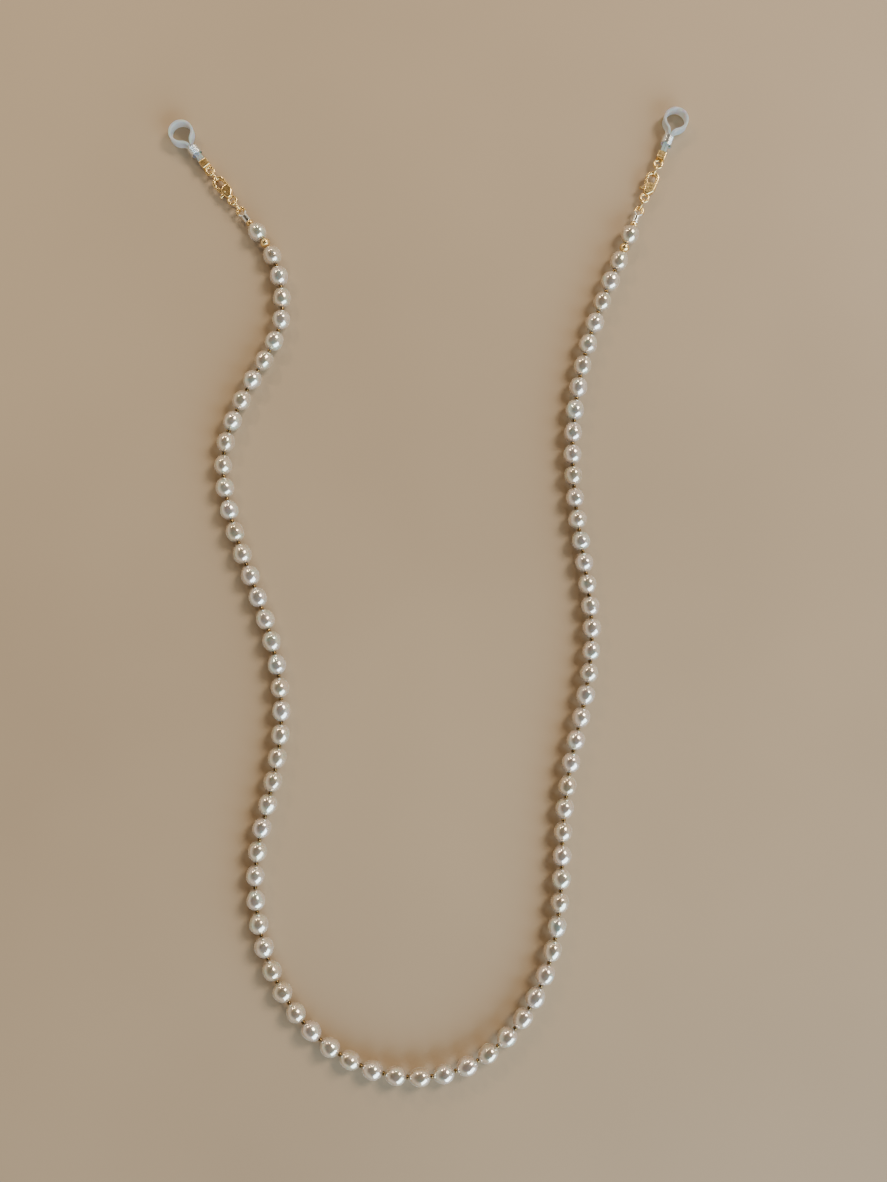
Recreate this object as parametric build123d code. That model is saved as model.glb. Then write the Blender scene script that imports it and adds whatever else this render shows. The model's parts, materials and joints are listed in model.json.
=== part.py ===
from build123d import *

import math
import os

# A pearl eyeglasses chain, laid out on a flat surface (z = 0), in millimetres.
# Origin: centre of the whole strap's outline on that surface. +Y runs from the bottom of the
# drape to the two ends that take the temples, +Z is up. Each end is built in its own frame,
# where +X points outwards along the end, and then turned and moved to its place.

# Strand
PEARL_WIDTH = 5.6
PEARL_HOLE = 1.0
SEED_LENGTH = 0.8
SEED_WIDTH = 1.3
METAL_HOLE = 0.55
SPACER_LENGTH = 2.8
SPACER_WIDTH = 3.0
END_BEAD_LENGTH = 1.2
END_BEAD_WIDTH = 2.2
EDGE_SHARE = 0.45
THREAD_DIAMETER = 0.45

# The pearls in order from the left end: name, how many, and their length
PEARL_RUNS = [
    ("pearls_left_end", 10, 6.1), ("pearls_left_upper", 11, 6.15), ("pearls_left_lower", 10, 6.1),
    ("pearls_bottom_left", 10, 6.1), ("pearls_bottom_right", 10, 6.2),
    ("pearls_right_lower", 10, 5.95), ("pearls_right_upper", 11, 5.8), ("pearls_right_end", 10, 6.15),
]
SEED_NODES = ["seed_beads_left", "seed_beads_bottom", "seed_beads_right"]

# Route of the thread, from inside the left crimp round to inside the right crimp
ROUTE = [
    (-56.3, 111.8, 2.1), (-52.6, 106.9, 2.95), (-48.3, 101.1, 2.8), (-44.9, 90.4, 2.8),
    (-44.6, 75.9, 2.8), (-56.2, 56.4, 2.8), (-63.2, 37.4, 2.8), (-59.2, 16.4, 2.8),
    (-51.7, -3.1, 2.8), (-45.2, -22.1, 2.8), (-42.7, -42.1, 2.8), (-45.7, -61.6, 2.8),
    (-50.7, -81.6, 2.8), (-49.9, -101.1, 2.8), (-43.2, -120.1, 2.8), (-30.2, -135.6, 2.8),
    (-11.7, -144.6, 2.8), (8.8, -143.6, 2.8), (25.3, -132.1, 2.8), (35.3, -114.6, 2.8),
    (38.9, -94.6, 2.8), (39.3, -74.1, 2.8), (41.8, -54.6, 2.8), (46.8, -35.6, 2.8),
    (49.3, -15.6, 2.8), (46.8, 4.4, 2.8), (43.8, 24.4, 2.8), (43.3, 44.4, 2.8),
    (46.3, 63.9, 2.8), (50.9, 79.4, 2.8), (55.1, 90.2, 2.8), (59.1, 99.5, 2.8),
    (61.7, 105.8, 2.95), (64.0, 111.6, 2.1),
]
CORNER_SHARE = 0.45

# Where each crimp's inner face stands, and which way that end points
ENDS = {"left": (-55.47, 110.70, 127.0), "right": (63.48, 110.30, 68.0)}
END_HEIGHT = 2.1

# Crimp, wire eye and wire guard
CRIMP_LENGTH = 2.4
CRIMP_DIAMETER = 2.2
CRIMP_BORE = 1.1
CRIMP_EDGE = 0.25
CRIMP_GAP = 0.1
THREAD_INTO_CRIMP = 1.4
WIRE_GAP = 0.05
WIRE_LEG_OFFSET = 0.27
WIRE_CORNER = 0.3
WIRE_SHOULDER = 0.1
GUARD_DIAMETER = 1.0
GUARD_BORE = 0.5
GUARD_BEND = 1.1
GUARD_APEX = 5.2
GUARD_LEG = 0.6

# Open rings that link the pieces
RING_INNER = 1.6
RING_WIRE = 0.5
LINK_GAP = 0.05

# Eyes at the clasp's tail and on the loop's ferrule
EYE_BEND = 1.2
EYE_WIRE = 0.8

# Lobster clasp
CLASP_THICKNESS = 2.6
CLASP_EDGE = 0.5
HOOK_EDGE = 0.45
HOOK_WIRE = 1.1
HOOK_THICKNESS = 1.6
HOOK_BEND = 1.6
HOOK_CENTRE = 8.0
HOOK_TIP_ANGLE = 100
HOUSING_CIRCLES = [(3.2, 0.0, 1.1), (4.5, -0.35, 1.7), (5.8, -1.6, 0.55)]
SLOT_WIDTH = 1.3
SLOT_PLAY = 0.1
LEVER_THICKNESS = 1.2
LEVER_EDGE = 0.25
LEVER_SWING = 45
GATE_GAP = 0.08
GATE_TIP_RADIUS = 0.45
TAB = (3.85, 2.3, 0.35)
PIVOT_X = 4.4
PIVOT_Y = 0.45
PIVOT_DIAMETER = 0.7
PIVOT_PLAY = 0.03
BOSS_RADIUS = 0.9
TAB_ROOT_RADIUS = 0.6
RECESS_RADIUS = 0.7
RIVET_PROUD = 0.15
RIVET_EDGE = 0.12
SPRING_WIRE = 0.14
SPRING_TURNS = 2
SPRING_PITCH = 0.196

# Ferrule, silicone loop and sliding coil
FERRULE_START = 2.5
FERRULE_LENGTH = 2.6
FERRULE_HEIGHT = 3.4
FERRULE_WIDTH = 2.7
FERRULE_EDGE = 0.35
FERRULE_END_WALL = 0.7
STRIP_THICKNESS = 0.85
STRIP_EDGE = 0.25
LEG_HEIGHT = 2.4
LEG_GAP = 0.1
LOOP_INNER = 3.0
LOOP_WIDTH = 3.6
LOOP_CENTRE = 16.3
LOOP_FLARE = 3.0
COIL_INNER = 3.1
COIL_WIRE = 0.36
COIL_PITCH = 0.403
COIL_TURNS = 7
COIL_START = 7.8


def corner_radii(points):
    """The arc at each corner, as large as its two runs allow."""
    radii = []
    for before, here, after in zip(points, points[1:], points[2:]):
        run_in = Vector(*here) - Vector(*before)
        run_out = Vector(*after) - Vector(*here)
        half_turn = math.radians(run_in.get_angle(run_out)) / 2
        radii.append(CORNER_SHARE * min(run_in.length, run_out.length) / math.tan(half_turn))
    return radii


def tube(path, diameter, bore=0.0):
    """A round wire along a path, or a pipe where it has a bore."""
    start = Plane(origin=path @ 0, z_dir=path % 0)
    section = Circle(diameter / 2)
    if bore:
        section -= Circle(bore / 2)
    return sweep(start * section, path=path)


def oval_bead(length, width, hole):
    """An oval bead with its drilled hole along X."""
    outline = Ellipse(length / 2, width / 2)
    above_hole = Pos(0, hole / 2 + width) * Rectangle(2 * length, 2 * width)
    return revolve(outline & above_hole, Axis.X)


def round_edged_bead(length, width, hole):
    """A short metal bead with rounded edges and its hole along X."""
    wall = (width - hole) / 2
    section = RectangleRounded(length, wall, EDGE_SHARE * min(length, wall))
    return revolve(Pos(0, hole / 2 + wall / 2) * section, Axis.X)


def place_on(path, bead, distance):
    """The bead on the path, with its hole along the path's direction there."""
    spot = Plane(
        origin=path.position_at(distance, position_mode=PositionMode.LENGTH),
        x_dir=path.tangent_at(distance, position_mode=PositionMode.LENGTH),
        z_dir=(0, 0, 1),
    )
    return spot.location * bead


def bead_sequence():
    """Kind and length of each bead from the left crimp to the right one."""
    pearls = [length for _, count, length in PEARL_RUNS for _ in range(count)]
    beads = [("end_bead", END_BEAD_LENGTH)]
    for index, length in enumerate(pearls):
        beads.append(("pearl", length))
        if index in (0, len(pearls) - 2):
            beads.append(("spacer", SPACER_LENGTH))
        elif index < len(pearls) - 1:
            beads.append(("seed", SEED_LENGTH))
    beads.append(("end_bead", END_BEAD_LENGTH))
    return beads


def bead_shape(kind, length):
    if kind == "pearl":
        return oval_bead(length, PEARL_WIDTH, PEARL_HOLE)
    if kind == "spacer":
        return oval_bead(length, SPACER_WIDTH, METAL_HOLE)
    width = SEED_WIDTH if kind == "seed" else END_BEAD_WIDTH
    return round_edged_bead(length, width, METAL_HOLE)


def thread_and_beads():
    """The thread and everything strung on it, as a dictionary of solids by kind."""
    radii = corner_radii(ROUTE)
    path = FilletPolyline(*ROUTE, radius=radii)
    thread = tube(path, THREAD_DIAMETER)
    volume_by_length = math.pi * THREAD_DIAMETER**2 / 4 * path.length
    print("corner radii, mm:", [round(radius) for radius in radii])
    print("thread length, mm:", round(path.length, 2))
    print("tube volume over section times length:", round(thread.volume / volume_by_length, 4))

    beads = bead_sequence()
    start = THREAD_INTO_CRIMP + CRIMP_GAP
    free = path.length - 2 * start - sum(length for _, length in beads)
    play = free / (len(beads) - 1)
    print("play between beads, mm:", round(play, 3))
    shapes = {bead: bead_shape(*bead) for bead in set(beads)}
    placed = {kind: [] for kind, _ in shapes}
    along = start
    for kind, length in beads:
        placed[kind].append(place_on(path, shapes[kind, length], along + length / 2))
        along += length + play
    return thread, placed


def crimp():
    body = Cylinder(CRIMP_DIAMETER / 2, CRIMP_LENGTH)
    body = fillet(body.edges(), CRIMP_EDGE)
    body -= Cylinder(CRIMP_BORE / 2, 2 * CRIMP_LENGTH)
    return Pos(CRIMP_LENGTH / 2, 0, 0) * Rot(0, 90, 0) * body


def guard_path(leg):
    """A U that opens towards the crimp."""
    centre_x = GUARD_APEX - GUARD_BEND
    leg_end = centre_x - leg
    with BuildLine() as line:
        Line((leg_end, -GUARD_BEND, 0), (centre_x, -GUARD_BEND, 0))
        ThreePointArc((centre_x, -GUARD_BEND, 0), (GUARD_APEX, 0, 0), (centre_x, GUARD_BEND, 0))
        Line((centre_x, GUARD_BEND, 0), (leg_end, GUARD_BEND, 0))
    return line.wires()[0]


def wire_guard():
    return tube(guard_path(GUARD_LEG), GUARD_DIAMETER, GUARD_BORE)


def wire_loop():
    """The thread's turned-back eye, from the crimp round inside the guard."""
    start_x = THREAD_INTO_CRIMP + WIRE_GAP
    centre_x = GUARD_APEX - GUARD_BEND
    low = [
        (start_x, -WIRE_LEG_OFFSET, 0), (CRIMP_LENGTH + WIRE_GAP, -WIRE_LEG_OFFSET, 0),
        (centre_x - GUARD_LEG - WIRE_SHOULDER, -GUARD_BEND, 0), (centre_x, -GUARD_BEND, 0),
    ]
    with BuildLine() as line:
        first = FilletPolyline(*low, radius=WIRE_CORNER)
        ThreePointArc((centre_x, -GUARD_BEND, 0), (GUARD_APEX, 0, 0), (centre_x, GUARD_BEND, 0))
        add(mirror(first, about=Plane.XZ))
    return tube(line.wires()[0], THREAD_DIAMETER)


def upright_ring(near_wire_x):
    """A jump ring that stands on edge, with its near wire's centre at the given x."""
    mean = RING_INNER + RING_WIRE / 2
    return Pos(near_wire_x + mean, 0, 0) * Rot(90, 0, 0) * Torus(mean, RING_WIRE / 2)


def top_and_bottom(solid):
    """The edges round a plate's two flat faces."""
    levels = solid.edges().group_by(Axis.Z)
    return levels[0] + levels[-1]


def flat_eye():
    """An eye that lies flat, with its near wall's centre at the origin."""
    return Pos(EYE_BEND, 0, 0) * Torus(EYE_BEND, EYE_WIRE / 2)


def rounded_hull(circles, grow=0.0):
    """The outline round a set of circles, each given as x, y and radius."""
    with BuildSketch() as sketch:
        for x, y, radius in circles:
            with Locations((x, y)):
                Circle(radius + grow)
        make_hull()
    return sketch.sketch


def turned(circle, degrees):
    """A circle on the lever, after the lever has turned about its rivet."""
    x, y, radius = circle
    spot = Vector(x - PIVOT_X, y - PIVOT_Y).rotate(Axis.Z, degrees)
    return (PIVOT_X + spot.X, PIVOT_Y + spot.Y, radius)


def hook_tip():
    """Centre of the hook's rounded tip."""
    angle = math.radians(HOOK_TIP_ANGLE)
    return HOOK_CENTRE + HOOK_BEND * math.cos(angle), HOOK_BEND * math.sin(angle)


def lever_circles():
    """The circles that the lever's gate and thumb tab are drawn round."""
    tip_x, tip_y = hook_tip()
    gate_x = tip_x - HOOK_WIRE / 2 - GATE_TIP_RADIUS - GATE_GAP
    boss = (PIVOT_X, PIVOT_Y, BOSS_RADIUS)
    return boss, (gate_x, tip_y, GATE_TIP_RADIUS), TAB


def clasp_body():
    """Tail eye, slotted housing for the lever, and the hook."""
    half_wire = HOOK_WIRE / 2
    bend = Circle(HOOK_BEND + half_wire) - Circle(HOOK_BEND - half_wire)
    far = 2 * HOOK_BEND + HOOK_WIRE
    right_half = Pos(far / 2, 0) * Rectangle(far, 2 * far)
    past_top = Rot(0, 0, HOOK_TIP_ANGLE - 90) * right_half
    arm_start = HOUSING_CIRCLES[1][0]
    arm_middle = (arm_start + HOOK_CENTRE) / 2
    arm = Pos(arm_middle, -HOOK_BEND) * Rectangle(HOOK_CENTRE - arm_start, HOOK_WIRE)
    outline = Pos(HOOK_CENTRE, 0) * (bend & (right_half + past_top))
    outline += arm + Pos(*hook_tip()) * Circle(half_wire)
    hook = extrude(outline, HOOK_THICKNESS / 2, both=True)
    hook = fillet(top_and_bottom(hook), HOOK_EDGE)

    housing = extrude(rounded_hull(HOUSING_CIRCLES), CLASP_THICKNESS / 2, both=True)
    housing = fillet(top_and_bottom(housing), CLASP_EDGE)

    boss, gate, tab = lever_circles()
    gate_sweep = [boss, gate, turned(gate, -LEVER_SWING)]
    tab_sweep = [boss, tab, turned(tab, -LEVER_SWING / 2), turned(tab, -LEVER_SWING)]
    slot_outline = rounded_hull(gate_sweep, SLOT_PLAY) + rounded_hull(tab_sweep, SLOT_PLAY)
    slot = extrude(slot_outline, SLOT_WIDTH / 2, both=True)
    rivet_hole = Pos(PIVOT_X, PIVOT_Y, 0) * Cylinder(PIVOT_DIAMETER / 2, 2 * CLASP_THICKNESS)
    return flat_eye() + (housing + hook - slot - rivet_hole)


def clasp_rivet():
    length = CLASP_THICKNESS + 2 * RIVET_PROUD
    rivet = Cylinder(PIVOT_DIAMETER / 2, length)
    return Pos(PIVOT_X, PIVOT_Y, 0) * fillet(top_and_bottom(rivet), RIVET_EDGE)


def clasp_lever():
    """The gate, its boss on the rivet and the thumb tab, with a recess for the spring."""
    boss, gate, tab = lever_circles()
    root = (PIVOT_X, PIVOT_Y, TAB_ROOT_RADIUS)
    profile = rounded_hull([boss, gate]) + rounded_hull([root, tab])
    lever = extrude(profile, LEVER_THICKNESS / 2, both=True)
    lever = fillet(top_and_bottom(lever), LEVER_EDGE)
    bore = Cylinder(PIVOT_DIAMETER / 2 + PIVOT_PLAY, 2 * LEVER_THICKNESS)
    recess = Pos(0, 0, LEVER_THICKNESS / 2) * Cylinder(RECESS_RADIUS, LEVER_THICKNESS)
    return lever - Pos(PIVOT_X, PIVOT_Y, 0) * (bore + recess)


def clasp_spring():
    """The torsion spring round the rivet, in the lever's recess."""
    mean = PIVOT_DIAMETER / 2 + PIVOT_PLAY + SPRING_WIRE
    path = Helix(SPRING_PITCH, SPRING_PITCH * SPRING_TURNS, mean)
    section = Plane(origin=path @ 0, z_dir=path % 0) * Circle(SPRING_WIRE / 2)
    coil = sweep(section, path=path, is_frenet=True)
    return Pos(PIVOT_X, PIVOT_Y, SPRING_WIRE) * coil


def loop_ferrule():
    """The crimped end piece: an eye, a neck and a sleeve that holds the loop's two legs."""
    centre_x = FERRULE_START + FERRULE_LENGTH / 2
    sleeve = Pos(centre_x, 0, 0) * Box(FERRULE_LENGTH, FERRULE_WIDTH, FERRULE_HEIGHT)
    sleeve = fillet(sleeve.edges(), FERRULE_EDGE)
    pocket_depth = FERRULE_LENGTH - FERRULE_END_WALL
    pocket_x = FERRULE_START + FERRULE_LENGTH - pocket_depth / 2
    pocket = Pos(pocket_x, 0, 0) * Box(pocket_depth, 2 * STRIP_THICKNESS + LEG_GAP, LEG_HEIGHT)
    hole = Pos(EYE_BEND, 0, 0) * Cylinder(EYE_BEND - EYE_WIRE / 2, 2 * FERRULE_HEIGHT)
    return flat_eye() + (sleeve - hole) - pocket


def silicone_loop():
    """A flat strip bent round to a loop, with its two ends side by side as slimmer legs."""
    leg_start = FERRULE_START + FERRULE_END_WALL
    leg_y = (LEG_GAP + STRIP_THICKNESS) / 2
    mean = LOOP_INNER + STRIP_THICKNESS / 2
    flare_y = leg_y + LOOP_FLARE
    leg_end = LOOP_CENTRE - math.sqrt((mean + LOOP_FLARE) ** 2 - flare_y**2)
    share = mean / (mean + LOOP_FLARE)
    join = (LOOP_CENTRE + share * (leg_end - LOOP_CENTRE), share * flare_y)
    with BuildLine() as line:
        leg = Line((leg_start, leg_y), (leg_end, leg_y))
        flare = TangentArc((leg_end, leg_y), join, tangent=(1, 0))
        ThreePointArc(join, (LOOP_CENTRE + mean, 0), (join[0], -join[1]))
        mirror(flare, about=Plane.XZ)
        mirror(leg, about=Plane.XZ)
    section = Plane(origin=(leg_start, leg_y, 0), x_dir=(0, 1, 0), z_dir=(1, 0, 0))
    strip = RectangleRounded(STRIP_THICKNESS, LOOP_WIDTH, STRIP_EDGE)
    loop = sweep(section * strip, path=line.wires()[0])

    slope = (LOOP_WIDTH - LEG_HEIGHT) / 2
    above_legs = Plane.XZ * Polygon(
        (0, LEG_HEIGHT / 2), (leg_end, LEG_HEIGHT / 2), (leg_end + 2 * slope, LOOP_WIDTH / 2),
        (leg_end + 2 * slope, LOOP_WIDTH), (0, LOOP_WIDTH),
        align=None,
    )
    trim = extrude(above_legs, LOOP_FLARE + LOOP_INNER, both=True)
    return loop - trim - mirror(trim, about=Plane.XY)


def slide_coil():
    """The spring coil that slides along the loop's legs."""
    mean = (COIL_INNER + COIL_WIRE) / 2
    path = Helix(COIL_PITCH, COIL_PITCH * COIL_TURNS, mean, direction=(1, 0, 0))
    section = Plane(origin=path @ 0, z_dir=path % 0) * Circle(COIL_WIRE / 2)
    return Pos(COIL_START, 0, 0) * sweep(section, path=path, is_frenet=True)


def end_pieces():
    """Every piece of one end in the end's own frame, by name."""
    guard_wall = GUARD_DIAMETER / 2
    ring_wall = RING_WIRE / 2
    hook_wall = HOOK_WIRE / 2
    ring_span = 2 * (RING_INNER + ring_wall)
    eye_step = ring_wall + EYE_WIRE / 2 + LINK_GAP
    tail_ring_x = GUARD_APEX - guard_wall - ring_wall - LINK_GAP
    clasp_x = tail_ring_x + ring_span - eye_step
    hook_apex = clasp_x + HOOK_CENTRE + HOOK_BEND
    loop_ring_x = hook_apex - hook_wall - ring_wall - LINK_GAP
    ferrule_x = loop_ring_x + ring_span - eye_step
    pivots = {
        "tail ring": tail_ring_x, "clasp": clasp_x + eye_step, "lever": clasp_x + PIVOT_X,
        "loop ring": loop_ring_x, "loop": ferrule_x + eye_step, "loop centre": ferrule_x + LOOP_CENTRE,
    }
    print("x in the end's own frame:", {name: round(x, 3) for name, x in pivots.items()})
    return {
        "crimp": crimp(),
        "wire_loop": wire_loop(),
        "wire_guard": wire_guard(),
        "tail_ring": upright_ring(tail_ring_x),
        "clasp_body": Pos(clasp_x, 0, 0) * clasp_body(),
        "clasp_rivet": Pos(clasp_x, 0, 0) * clasp_rivet(),
        "clasp_lever": Pos(clasp_x, 0, 0) * clasp_lever(),
        "clasp_spring": Pos(clasp_x, 0, 0) * clasp_spring(),
        "loop_ring": upright_ring(loop_ring_x),
        "loop_ferrule": Pos(ferrule_x, 0, 0) * loop_ferrule(),
        "silicone_loop": Pos(ferrule_x, 0, 0) * silicone_loop(),
        "slide_coil": Pos(ferrule_x, 0, 0) * slide_coil(),
    }


def save(node, solids):
    """One file for the node, with each of its pieces as a separate solid."""
    shape = solids[0] if len(solids) == 1 else Compound(children=list(solids))
    shape.label = node
    export_step(shape, os.path.join("parts", node + ".step"))


def main():
    os.makedirs("parts", exist_ok=True)
    thread, placed = thread_and_beads()
    save("thread", [thread])

    first = 0
    for node, count, _ in PEARL_RUNS:
        save(node, placed["pearl"][first:first + count])
        first += count
    seeds = placed["seed"]
    share = math.ceil(len(seeds) / len(SEED_NODES))
    for index, node in enumerate(SEED_NODES):
        save(node, seeds[index * share:(index + 1) * share])

    pieces = end_pieces()
    for index, (side, (x, y, angle)) in enumerate(ENDS.items()):
        save(side + "_spacer_bead", [placed["spacer"][index]])
        save(side + "_end_bead", [placed["end_bead"][index]])
        place = Location((x, y, END_HEIGHT), (0, 0, angle))
        for name, piece in pieces.items():
            save(side + "_" + name, [place * piece])


main()
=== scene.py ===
import json
import math
import random

import bpy
import numpy as np
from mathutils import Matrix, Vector, noise


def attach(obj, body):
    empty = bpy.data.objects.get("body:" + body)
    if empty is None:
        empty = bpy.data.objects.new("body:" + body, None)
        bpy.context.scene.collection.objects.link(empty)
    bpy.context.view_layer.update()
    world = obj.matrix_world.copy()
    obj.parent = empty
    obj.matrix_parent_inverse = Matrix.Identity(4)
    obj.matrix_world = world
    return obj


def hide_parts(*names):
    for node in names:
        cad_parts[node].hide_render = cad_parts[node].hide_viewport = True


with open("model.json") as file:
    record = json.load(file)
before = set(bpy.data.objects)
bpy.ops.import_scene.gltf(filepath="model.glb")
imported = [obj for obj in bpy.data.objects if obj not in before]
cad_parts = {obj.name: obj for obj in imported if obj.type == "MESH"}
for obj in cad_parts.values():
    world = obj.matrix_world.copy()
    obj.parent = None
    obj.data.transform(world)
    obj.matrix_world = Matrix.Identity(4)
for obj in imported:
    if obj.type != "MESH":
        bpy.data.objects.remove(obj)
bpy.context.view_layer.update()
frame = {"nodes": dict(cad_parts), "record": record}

MM = 0.001

# Strand sizes, in metres, as in the CAD model
PEARL_WIDTH = 5.6 * MM
PEARL_HOLE = 0.9 * MM
SEED_LENGTH = 0.8 * MM
SEED_WIDTH = 1.3 * MM
SPACER_LENGTH = 2.8 * MM
SPACER_WIDTH = 3.0 * MM
END_BEAD_LENGTH = 1.2 * MM
END_BEAD_WIDTH = 2.2 * MM
METAL_HOLE = 0.55 * MM
THREAD_DIAMETER = 0.45 * MM
THREAD_INTO_CRIMP = 1.4 * MM
CRIMP_GAP = 0.1 * MM

# How uneven the pearls are; depths are shares of the radius
BEAD_SEED, TONE_SEED = 82, 7
MOST_EGG = 0.09
LEAST_FULLNESS = 0.84
BROAD_LUMPS, BROAD_DEPTH = 0.9, 0.06
FINE_LUMPS, FINE_DEPTH = 2.2, 0.016
MOST_SQUEEZE = 0.035
RING_DEPTHS = (0.0, 0.0, 0.0, 0.012, 0.02)
RING_SPREAD = 0.12
SHRINK = 0.008
MOST_LEAN = 0.03

# The lumps fade out over this share of the width, so the rim of the hole stays true
RIM_SHARE = 0.2

# Section of the metal ring beads: the corners' sharpness and their furthest reach
CORNER_POWER = 0.55
MOST_BULGE = 1.12
SEED_ROUNDNESS, END_BEAD_ROUNDNESS = 0.35, 0.2

# Mesh detail: points along a bead's outline, and steps round its hole
PEARL_POINTS, PEARL_STEPS = 27, 36
BALL_POINTS, BALL_STEPS = 23, 40
SECTION_POINTS = 18
SEED_STEPS, END_BEAD_STEPS = 28, 36

# How far the mouth of a drilled hole runs in
PEARL_MOUTH = 0.12 * MM
BALL_MOUTH = 0.1 * MM

# Half the distance along the line over which its direction is measured
AXIS_REACH = 0.0008

# The thread's route, in metres, from inside the left crimp to inside the right one
ROUTE = [
    (-0.0563, 0.1118, 0.0021), (-0.0526, 0.1069, 0.00295), (-0.0483, 0.1011, 0.0028),
    (-0.0449, 0.0904, 0.0028), (-0.0446, 0.0759, 0.0028), (-0.0562, 0.0564, 0.0028),
    (-0.0632, 0.0374, 0.0028), (-0.0592, 0.0164, 0.0028), (-0.0517, -0.0031, 0.0028),
    (-0.0452, -0.0221, 0.0028), (-0.0427, -0.0421, 0.0028), (-0.0457, -0.0616, 0.0028),
    (-0.0507, -0.0816, 0.0028), (-0.0499, -0.1011, 0.0028), (-0.0432, -0.1201, 0.0028),
    (-0.0302, -0.1356, 0.0028), (-0.0117, -0.1446, 0.0028), (0.0088, -0.1436, 0.0028),
    (0.0253, -0.1321, 0.0028), (0.0353, -0.1146, 0.0028), (0.0389, -0.0946, 0.0028),
    (0.0393, -0.0741, 0.0028), (0.0418, -0.0546, 0.0028), (0.0468, -0.0356, 0.0028),
    (0.0493, -0.0156, 0.0028), (0.0468, 0.0044, 0.0028), (0.0438, 0.0244, 0.0028),
    (0.0433, 0.0444, 0.0028), (0.0463, 0.0639, 0.0028), (0.0509, 0.0794, 0.0028),
    (0.0551, 0.0902, 0.0028), (0.0591, 0.0995, 0.0028), (0.0617, 0.1058, 0.00295),
    (0.064, 0.1116, 0.0021),
]

# The pearls in order from the left end: node, how many, and their length
PEARL_RUNS = [
    ("left_end", 10, 6.1 * MM), ("left_upper", 11, 6.15 * MM), ("left_lower", 10, 6.1 * MM),
    ("bottom_left", 10, 6.1 * MM), ("bottom_right", 10, 6.2 * MM),
    ("right_lower", 10, 5.95 * MM), ("right_upper", 11, 5.8 * MM), ("right_end", 10, 6.15 * MM),
]
SEED_GROUPS = ["left", "bottom", "right"]

# The camera looks almost straight down, as someone standing over the table does
CAMERA_PLACE = (0.0046, -0.0388, 0.3594)
CAMERA_TILT = math.radians(5.6)
SENSOR_WIDTH = 36.0
LENS = 48.7
NEAREST = 0.01

# Lights: name, place, size, watts and colour
LIGHTS = [
    ("window", (0.93, -1.20, 0.63), (1.8, 1.12), 56, (0.60, 0.82, 1.0)),
    ("ceiling_lamp", (1.35, 1.05, 1.65), (0.75, 0.75), 46, (1.0, 0.90, 0.74)),
    ("left_spot", (-0.42, 0.62, 0.55), (0.07, 0.07), 1.6, (1.0, 0.80, 0.52)),
    ("back_spot", (-0.02, 0.85, 0.55), (0.07, 0.07), 1.6, (1.0, 0.82, 0.56)),
]

# The room's colour by height, from the horizon to overhead
ROOM_COLOURS = [
    (0.0, (0.95, 0.84, 0.68, 1)), (0.45, (0.76, 0.67, 0.55, 1)), (0.8, (0.055, 0.038, 0.022, 1)),
]
ROOM_STRENGTH = 0.9

TABLE_HALF = 3
TABLE_DROP = 0.0001


# ---------------------------------------------------------------- camera and thread

def add_camera():
    """The photograph's view."""
    data = bpy.data.cameras.new("camera")
    data.sensor_fit = "HORIZONTAL"
    data.sensor_width = SENSOR_WIDTH
    data.lens = LENS
    data.clip_start = NEAREST
    camera = bpy.data.objects.new("camera", data)
    camera.location = CAMERA_PLACE
    camera.rotation_euler = (CAMERA_TILT, 0, 0)
    bpy.context.scene.collection.objects.link(camera)
    bpy.context.scene.camera = camera


def route_curve(name, bevel):
    """An open NURBS line through the route, as thick as the bevel makes it."""
    data = bpy.data.curves.new(name, "CURVE")
    data.dimensions = "3D"
    data.resolution_u = 24
    spline = data.splines.new("NURBS")
    spline.points.add(len(ROUTE) - 1)
    for point, place in zip(spline.points, ROUTE):
        point.co = (*place, 1.0)
    spline.order_u = 3
    spline.use_endpoint_u = True
    data.bevel_depth = bevel
    data.bevel_resolution = 5
    data.use_fill_caps = True
    curve = bpy.data.objects.new(name, data)
    bpy.context.scene.collection.objects.link(curve)
    return curve


class Line:
    """The route's smooth line, read from its NURBS curve, with places by distance."""

    def __init__(self):
        bare = route_curve("bare_line", 0.0)
        bpy.context.view_layer.update()
        evaluated = bare.evaluated_get(bpy.context.evaluated_depsgraph_get())
        mesh = bpy.data.meshes.new_from_object(evaluated)
        points = np.array([v.co[:] for v in mesh.vertices])
        bpy.data.meshes.remove(mesh)
        bpy.data.objects.remove(bare)
        if points[0][0] > points[-1][0]:
            points = points[::-1]
        steps = np.linalg.norm(np.diff(points, axis=0), axis=1)
        self.points = points
        self.distance = np.concatenate([[0.0], np.cumsum(steps)])
        self.length = float(self.distance[-1])

    def at(self, distance):
        """The point on the line this far from its left end."""
        return np.array([np.interp(distance, self.distance, self.points[:, i]) for i in range(3)])

    def axes(self, distance):
        """Centre, and the line's forward, left and up directions there."""
        low, high = max(distance - AXIS_REACH, 0.0), min(distance + AXIS_REACH, self.length)
        forward = self.at(high) - self.at(low)
        forward /= np.linalg.norm(forward)
        left = np.cross((0.0, 0.0, 1.0), forward)
        left /= np.linalg.norm(left)
        return self.at(distance), forward, left, np.cross(forward, left)


# ---------------------------------------------------------------- beads

def lathe(profile, segments):
    """Closed rings round X for a closed profile of (x, radius) points."""
    turns = np.linspace(0, 2 * math.pi, segments, endpoint=False)
    verts = [
        (x, radius * math.cos(turn), radius * math.sin(turn))
        for x, radius in profile
        for turn in turns
    ]
    faces = []
    count = len(profile)
    for ring in range(count):
        for step in range(segments):
            after = (step + 1) % segments
            near, far = ring * segments, (ring + 1) % count * segments
            faces.append((near + step, near + after, far + after, far + step))
    return np.array(verts), faces


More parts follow.
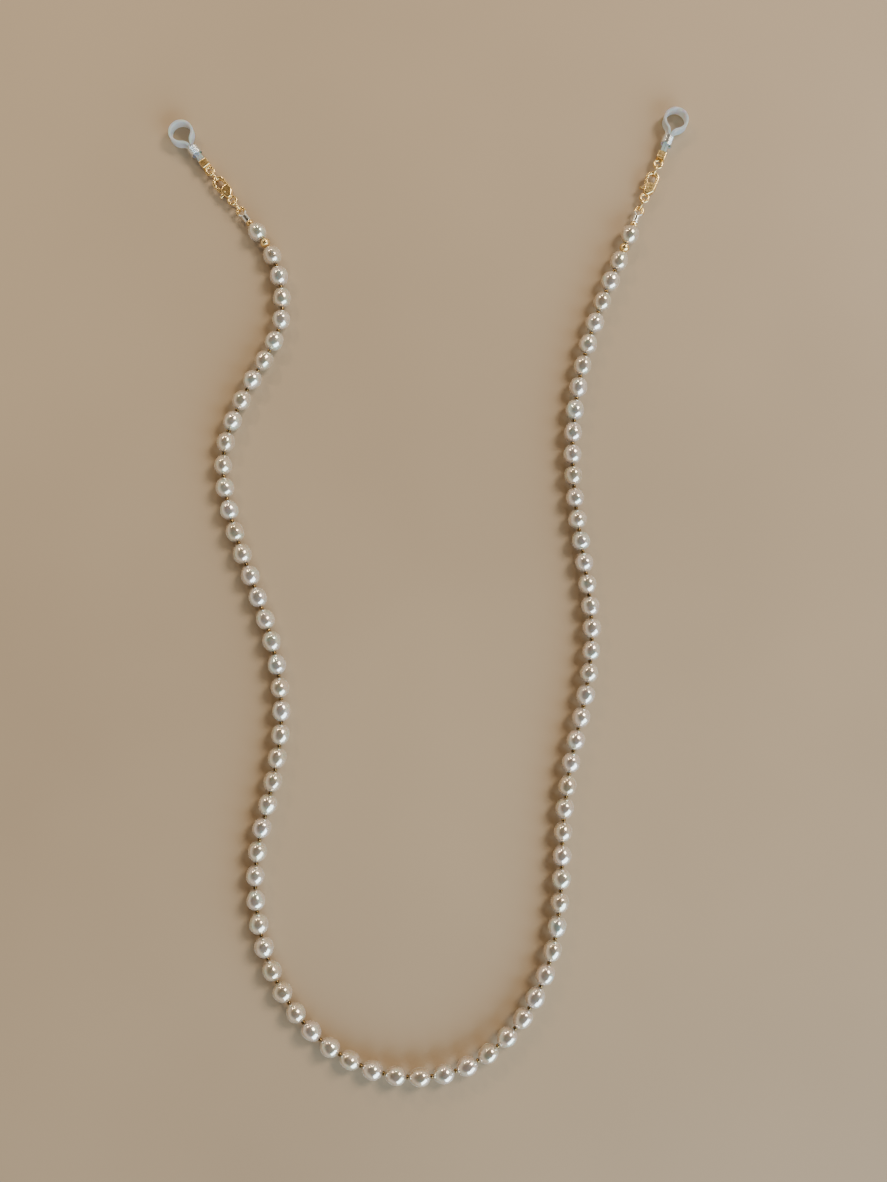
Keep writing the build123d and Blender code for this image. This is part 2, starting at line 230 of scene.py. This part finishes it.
def pearl_profile(length, width, egg, fullness):
    """The pearl's outline from hole to hole, and back along the drilled hole."""
    hole = PEARL_HOLE / 2
    edge = math.asin((2 * hole / width) ** (1 / fullness))
    profile = []
    for angle in np.linspace(edge, math.pi - edge, PEARL_POINTS):
        along = -math.cos(angle)
        radius = width / 2 * math.sin(angle) ** fullness * (1 + egg * along)
        profile.append((length / 2 * along, radius))
    rim = profile[-1][0]
    start = profile[0][0]
    drilled = [(rim - PEARL_MOUTH, hole * 0.82), (0.0, hole * 0.8), (start + PEARL_MOUTH, hole * 0.82)]
    return profile + drilled


def pearl_mesh(chance, length):
    """One off-round freshwater pearl, with its hole along X."""
    length *= chance.uniform(0.98, 1.0)
    width = PEARL_WIDTH * chance.uniform(0.97, 1.0)
    egg = chance.uniform(-MOST_EGG, MOST_EGG)
    profile = pearl_profile(length, width, egg, chance.uniform(LEAST_FULLNESS, 1.0))
    verts, faces = lathe(profile, PEARL_STEPS)
    seed = Vector((chance.uniform(-50, 50), chance.uniform(-50, 50), chance.uniform(-50, 50)))
    squeeze = chance.uniform(0.0, MOST_SQUEEZE)
    turn = chance.uniform(0, math.pi)
    ring_at = chance.uniform(-0.5, 0.5)
    ring_depth = chance.choice(RING_DEPTHS)
    shaped = []
    for x, y, z in verts:
        direction = Vector((x, y, z)).normalized()
        broad = noise.noise(direction * BROAD_LUMPS + seed) * BROAD_DEPTH
        lump = broad + noise.noise(direction * FINE_LUMPS + seed) * FINE_DEPTH
        flat = squeeze * math.cos(math.atan2(z, y) - turn) ** 2
        groove = ring_depth * math.exp(-((2 * x / length - ring_at) / RING_SPREAD) ** 2)
        radius = math.hypot(y, z)
        share = min(1.0, max(0.0, (radius - PEARL_HOLE / 2) / (RIM_SHARE * PEARL_WIDTH)))
        scale = 1 + share * (lump - flat - groove - SHRINK)
        shaped.append((x, y * scale, z * scale))
    return np.array(shaped), faces


def metal_bead_mesh(length, width, roundness, segments):
    """A metal ring bead, from nearly square in section (0) to fully round (1)."""
    hole = METAL_HOLE / 2
    wall = width / 2 - hole
    profile = []
    for angle in np.linspace(0, 2 * math.pi, SECTION_POINTS, endpoint=False):
        across, along = math.cos(angle), math.sin(angle)
        bulge = 1 / max(abs(across), abs(along)) ** (CORNER_POWER * (1 - roundness))
        x = length / 2 * along * min(bulge, MOST_BULGE)
        radius = hole + wall * (0.5 + 0.5 * max(-1, min(1, across * bulge)))
        profile.append((max(-length / 2, min(length / 2, x)), radius))
    return lathe(profile, segments)


def ball_bead_mesh(length, width):
    """A round metal bead with its hole along X."""
    hole = METAL_HOLE / 2
    edge = math.asin(2 * hole / width)
    profile = []
    for angle in np.linspace(edge, math.pi - edge, BALL_POINTS):
        profile.append((-length / 2 * math.cos(angle), width / 2 * math.sin(angle)))
    profile.append((profile[-1][0] - BALL_MOUTH, hole * 0.9))
    profile.append((profile[0][0] + BALL_MOUTH, hole * 0.9))
    return lathe(profile, BALL_STEPS)


def on_line(line, distance, verts, spin=0.0, lean=0.0):
    """A bead's vertices in place on the line, turned round it by spin and tipped by lean."""
    centre, forward, left, up = line.axes(distance)
    forward = forward + lean * left
    forward /= np.linalg.norm(forward)
    left = np.cross(up, forward)
    left /= np.linalg.norm(left)
    cos, sin = math.cos(spin), math.sin(spin)
    across = verts[:, 1] * cos - verts[:, 2] * sin
    above = verts[:, 1] * sin + verts[:, 2] * cos
    return centre + np.outer(verts[:, 0], forward) + np.outer(across, left) + np.outer(above, up)


def joined(name, beads, material, tones=None):
    """One smooth mesh object from a list of (vertices, faces)."""
    verts, faces, shades = [], [], []
    for index, (points, quads) in enumerate(beads):
        base = len(verts)
        verts.extend(map(tuple, points))
        faces.extend(tuple(base + corner for corner in quad) for quad in quads)
        shades.extend([tones[index] if tones else 0.5] * len(points))
    mesh = bpy.data.meshes.new(name)
    mesh.from_pydata(verts, [], faces)
    mesh.attributes.new("tone", "FLOAT", "POINT").data.foreach_set("value", shades)
    mesh.polygons.foreach_set("use_smooth", [True] * len(faces))
    mesh.update()
    mesh.materials.append(material)
    obj = bpy.data.objects.new(name, mesh)
    bpy.context.scene.collection.objects.link(obj)
    return obj


def bead_sequence():
    """Kind and length of each bead from the left crimp to the right one."""
    pearls = [length for _, count, length in PEARL_RUNS for _ in range(count)]
    beads = [("end_bead", END_BEAD_LENGTH)]
    for index, length in enumerate(pearls):
        beads.append(("pearl", length))
        if index in (0, len(pearls) - 2):
            beads.append(("spacer", SPACER_LENGTH))
        elif index < len(pearls) - 1:
            beads.append(("seed", SEED_LENGTH))
    beads.append(("end_bead", END_BEAD_LENGTH))
    return beads


def string_beads(line):
    """Every bead in its place on the line, as lists of (vertices, faces) by kind."""
    beads = bead_sequence()
    start = THREAD_INTO_CRIMP + CRIMP_GAP
    play = (line.length - 2 * start - sum(length for _, length in beads)) / (len(beads) - 1)
    chance = random.Random(BEAD_SEED)
    placed = {"pearl": [], "seed": [], "spacer": [], "end_bead": []}
    along = start
    for kind, length in beads:
        if kind == "pearl":
            verts, faces = pearl_mesh(chance, length)
        elif kind == "seed":
            width = SEED_WIDTH * chance.uniform(0.93, 1.0)
            verts, faces = metal_bead_mesh(length, width, SEED_ROUNDNESS, SEED_STEPS)
        elif kind == "spacer":
            verts, faces = ball_bead_mesh(length, SPACER_WIDTH)
        else:
            width = END_BEAD_WIDTH
            verts, faces = metal_bead_mesh(length, width, END_BEAD_ROUNDNESS, END_BEAD_STEPS)
        spin = chance.uniform(0, 2 * math.pi)
        lean = chance.uniform(-MOST_LEAN, MOST_LEAN) if kind == "pearl" else 0.0
        middle = along + length / 2
        placed[kind].append((on_line(line, middle, verts, spin, lean), faces))
        along += length + play
    return placed


# ---------------------------------------------------------------- materials

class Nodes:
    """Short calls for building one node material."""

    def __init__(self, name):
        self.material = bpy.data.materials.new(name)
        self.material.use_nodes = True
        self.tree = self.material.node_tree
        self.shader = self.tree.nodes["Principled BSDF"]

    def add(self, kind, **settings):
        node = self.tree.nodes.new(kind)
        for key, value in settings.items():
            if key in node.bl_rna.properties:
                setattr(node, key, value)
            else:
                node.inputs[key.replace("_", " ")].default_value = value
        return node

    def link(self, source, target):
        self.tree.links.new(source, target)

    def place(self):
        return self.add("ShaderNodeTexCoord").outputs["Object"]

    def noise(self, scale, detail):
        node = self.add("ShaderNodeTexNoise", Scale=scale, Detail=detail, Roughness=0.5)
        self.link(self.place(), node.inputs["Vector"])
        return node.outputs["Fac"]

    def ramp(self, source, stops):
        node = self.add("ShaderNodeValToRGB")
        while len(node.color_ramp.elements) < len(stops):
            node.color_ramp.elements.new(0.5)
        for element, (position, colour) in zip(node.color_ramp.elements, stops):
            element.position = position
            element.color = (*colour, 1.0)
        self.link(source, node.inputs["Fac"])
        return node.outputs["Color"]

    def spread(self, source, low, high):
        node = self.add("ShaderNodeMapRange")
        node.inputs["To Min"].default_value = low
        node.inputs["To Max"].default_value = high
        self.link(source, node.inputs["Value"])
        return node.outputs["Result"]

    def bump(self, height, strength, distance):
        node = self.add("ShaderNodeBump", Strength=strength, Distance=distance)
        self.link(height, node.inputs["Height"])
        self.link(node.outputs["Normal"], self.shader.inputs["Normal"])

    def set(self, **values):
        for key, value in values.items():
            self.shader.inputs[key.replace("_", " ")].default_value = value


def nacre():
    """Creamy mother-of-pearl: each pearl its own tone, clouded, under a clear bright skin."""
    made = Nodes("nacre")
    tone = made.add("ShaderNodeAttribute", attribute_name="tone").outputs["Fac"]
    base = made.ramp(tone, [
        (0.0, (0.67, 0.59, 0.46)), (0.4, (0.73, 0.68, 0.58)),
        (0.75, (0.75, 0.68, 0.62)), (1.0, (0.71, 0.71, 0.68)),
    ])
    cloud = made.ramp(made.noise(360, 2.0), [
        (0.3, (0.82, 0.74, 0.60)), (0.45, (1.0, 0.88, 0.89)), (0.57, (0.97, 0.95, 0.86)),
        (0.7, (0.78, 1.0, 1.0)),
    ])
    mixed = made.add("ShaderNodeMix", data_type="RGBA", blend_type="MULTIPLY")
    mixed.inputs["Factor"].default_value = 0.75
    made.link(base, mixed.inputs["A"])
    made.link(cloud, mixed.inputs["B"])
    made.link(mixed.outputs["Result"], made.shader.inputs["Base Color"])
    made.link(made.spread(made.noise(900, 3.0), 0.12, 0.22), made.shader.inputs["Roughness"])
    made.bump(made.noise(1500, 3.0), 0.05, 0.0002)
    made.set(
        Metallic=0.76, Coat_Weight=1.0, Coat_Roughness=0.03, Coat_IOR=1.6, IOR=1.65,
        Thin_Film_Thickness=400.0, Thin_Film_IOR=1.5,
        Subsurface_Weight=0.3, Subsurface_Scale=0.001, Subsurface_Radius=(1.0, 0.75, 0.55),
        Sheen_Weight=0.5, Sheen_Roughness=0.35, Sheen_Tint=(1.0, 0.96, 0.88, 1.0),
    )
    return made.material


def polished_metal(name, colour, dark, roughness, tarnish_scale=500):
    """Plated metal with faint tarnish in its colour, fine handling marks and uneven gloss."""
    made = Nodes(name)
    made.link(
        made.ramp(made.noise(tarnish_scale, 4.0), [(0.25, dark), (0.6, colour)]),
        made.shader.inputs["Base Color"],
    )
    made.link(
        made.spread(made.noise(1400, 5.0), roughness * 0.7, roughness * 1.5),
        made.shader.inputs["Roughness"],
    )
    made.bump(made.noise(2600, 5.0), 0.05, 0.0001)
    made.set(Metallic=1.0)
    return made.material


def silicone():
    """Pale translucent rubber with a soft skin and faint cloudiness."""
    made = Nodes("silicone")
    made.link(
        made.ramp(made.noise(350, 3.0), [(0.3, (0.74, 0.80, 0.84)), (0.7, (0.88, 0.93, 0.96))]),
        made.shader.inputs["Base Color"],
    )
    made.link(made.spread(made.noise(1100, 4.0), 0.28, 0.42), made.shader.inputs["Roughness"])
    made.bump(made.noise(3000, 3.0), 0.08, 0.0001)
    made.set(Transmission_Weight=0.7, IOR=1.41, Subsurface_Weight=0.5, Subsurface_Scale=0.002)
    return made.material


def twisted_thread():
    """Pale beading thread with its plies wound round it; the grooves between the plies are painted
    darker, as shade.
    """
    made = Nodes("twisted_thread")
    wave = made.add("ShaderNodeTexWave", Scale=900.0, Distortion=2.0)
    made.link(made.place(), wave.inputs["Vector"])
    # The wave sets both the bump and the colour: where it is low, in the grooves between the plies,
    # the dark stop is painted shade
    made.link(
        made.ramp(wave.outputs["Fac"], [(0.2, (0.62, 0.57, 0.48)), (0.8, (0.88, 0.84, 0.76))]),
        made.shader.inputs["Base Color"],
    )
    made.bump(wave.outputs["Fac"], 0.3, 0.0001)
    made.set(Roughness=0.6, Sheen_Weight=0.3)
    return made.material


def table_top():
    """Warm tan table, faintly mottled and nearly matt."""
    made = Nodes("table_top")
    made.link(
        made.ramp(made.noise(6, 3.0), [(0.3, (0.346, 0.248, 0.156)), (0.7, (0.398, 0.287, 0.181))]),
        made.shader.inputs["Base Color"],
    )
    made.link(made.spread(made.noise(40, 4.0), 0.48, 0.58), made.shader.inputs["Roughness"])
    made.bump(made.noise(900, 3.0), 0.02, 0.0002)
    made.set(Specular_IOR_Level=0.5)
    return made.material


# ---------------------------------------------------------------- floor and lights

def add_floor():
    """A table just under the lowest piece, for renders only."""
    mesh = bpy.data.meshes.new("table")
    corners = [(TABLE_HALF * x, TABLE_HALF * y, 0) for x, y in ((-1, -1), (1, -1), (1, 1), (-1, 1))]
    mesh.from_pydata(corners, [], [(0, 1, 2, 3)])
    floor = bpy.data.objects.new("table", mesh)
    floor.location.z = -TABLE_DROP
    mesh.materials.append(table_top())
    bpy.context.scene.collection.objects.link(floor)


def add_softbox(name, place, size, power, colour):
    """A rectangular light that faces the origin."""
    data = bpy.data.lights.new(name, "AREA")
    data.shape = "RECTANGLE"
    data.size, data.size_y = size
    data.energy = power
    data.color = colour
    light = bpy.data.objects.new(name, data)
    light.location = place
    light.rotation_euler = (-Vector(place)).to_track_quat("-Z", "Y").to_euler()
    bpy.context.scene.collection.objects.link(light)


def add_room():
    """Soft surroundings, brighter and warmer towards the horizon than overhead."""
    world = bpy.data.worlds.new("room")
    world.use_nodes = True
    nodes, links = world.node_tree.nodes, world.node_tree.links
    direction = nodes.new("ShaderNodeTexCoord")
    split = nodes.new("ShaderNodeSeparateXYZ")
    ramp = nodes.new("ShaderNodeValToRGB")
    ramp.color_ramp.elements.new(0.5)
    for element, (position, colour) in zip(ramp.color_ramp.elements, ROOM_COLOURS):
        element.position, element.color = position, colour
    links.new(direction.outputs["Generated"], split.inputs["Vector"])
    links.new(split.outputs["Z"], ramp.inputs["Fac"])
    links.new(ramp.outputs["Color"], nodes["Background"].inputs["Color"])
    nodes["Background"].inputs["Strength"].default_value = ROOM_STRENGTH
    bpy.context.scene.world = world


def add_lights():
    """Every light, and the room round them."""
    for light in LIGHTS:
        add_softbox(*light)
    add_room()


# ---------------------------------------------------------------- the strap

add_camera()
thread = route_curve("beading_thread", THREAD_DIAMETER / 2)
line = Line()
strung = string_beads(line)

gold = polished_metal("gold_plate", (0.92, 0.68, 0.32), (0.74, 0.50, 0.20), 0.24)
dark_gold = polished_metal("dark_gold", (0.30, 0.19, 0.075), (0.10, 0.06, 0.022), 0.22, 300)
silver = polished_metal("silver_plate", (0.88, 0.88, 0.86), (0.66, 0.65, 0.62), 0.18)
spring_steel = polished_metal("spring_steel", (0.62, 0.62, 0.62), (0.40, 0.39, 0.38), 0.28)
rubber = silicone()
fibre = twisted_thread()
shell = nacre()
thread.data.materials.append(fibre)

chance = random.Random(TONE_SEED)
first = 0
for group, count, _ in PEARL_RUNS:
    beads = strung["pearl"][first:first + count]
    piece = joined("nacre_" + group, beads, shell, [chance.random() for _ in beads])
    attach(piece, "strand")
    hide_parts("pearls_" + group)
    first += count

share = math.ceil(len(strung["seed"]) / len(SEED_GROUPS))
for index, group in enumerate(SEED_GROUPS):
    piece = joined("gold_seeds_" + group, strung["seed"][index * share:(index + 1) * share], dark_gold)
    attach(piece, "strand")
    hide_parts("seed_beads_" + group)

for index, side in enumerate(("left", "right")):
    for kind, node in (("spacer", "spacer_bead"), ("end_bead", "end_bead")):
        piece = joined(side + "_gold_" + kind, [strung[kind][index]], gold)
        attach(piece, "strand")
        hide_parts(side + "_" + node)

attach(thread, "strand")
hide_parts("thread")

finishes = {
    "gold": gold, "silver": silver, "silicone": rubber, "thread": fibre,
    "spring_steel": spring_steel, "seed_gold": dark_gold, "pearl": shell,
}
for part in frame["record"]["subparts"]:
    node = frame["nodes"][part["node"]]
    node.data.materials.clear()
    node.data.materials.append(finishes[part["material_slot"]])

add_floor()
add_lights()
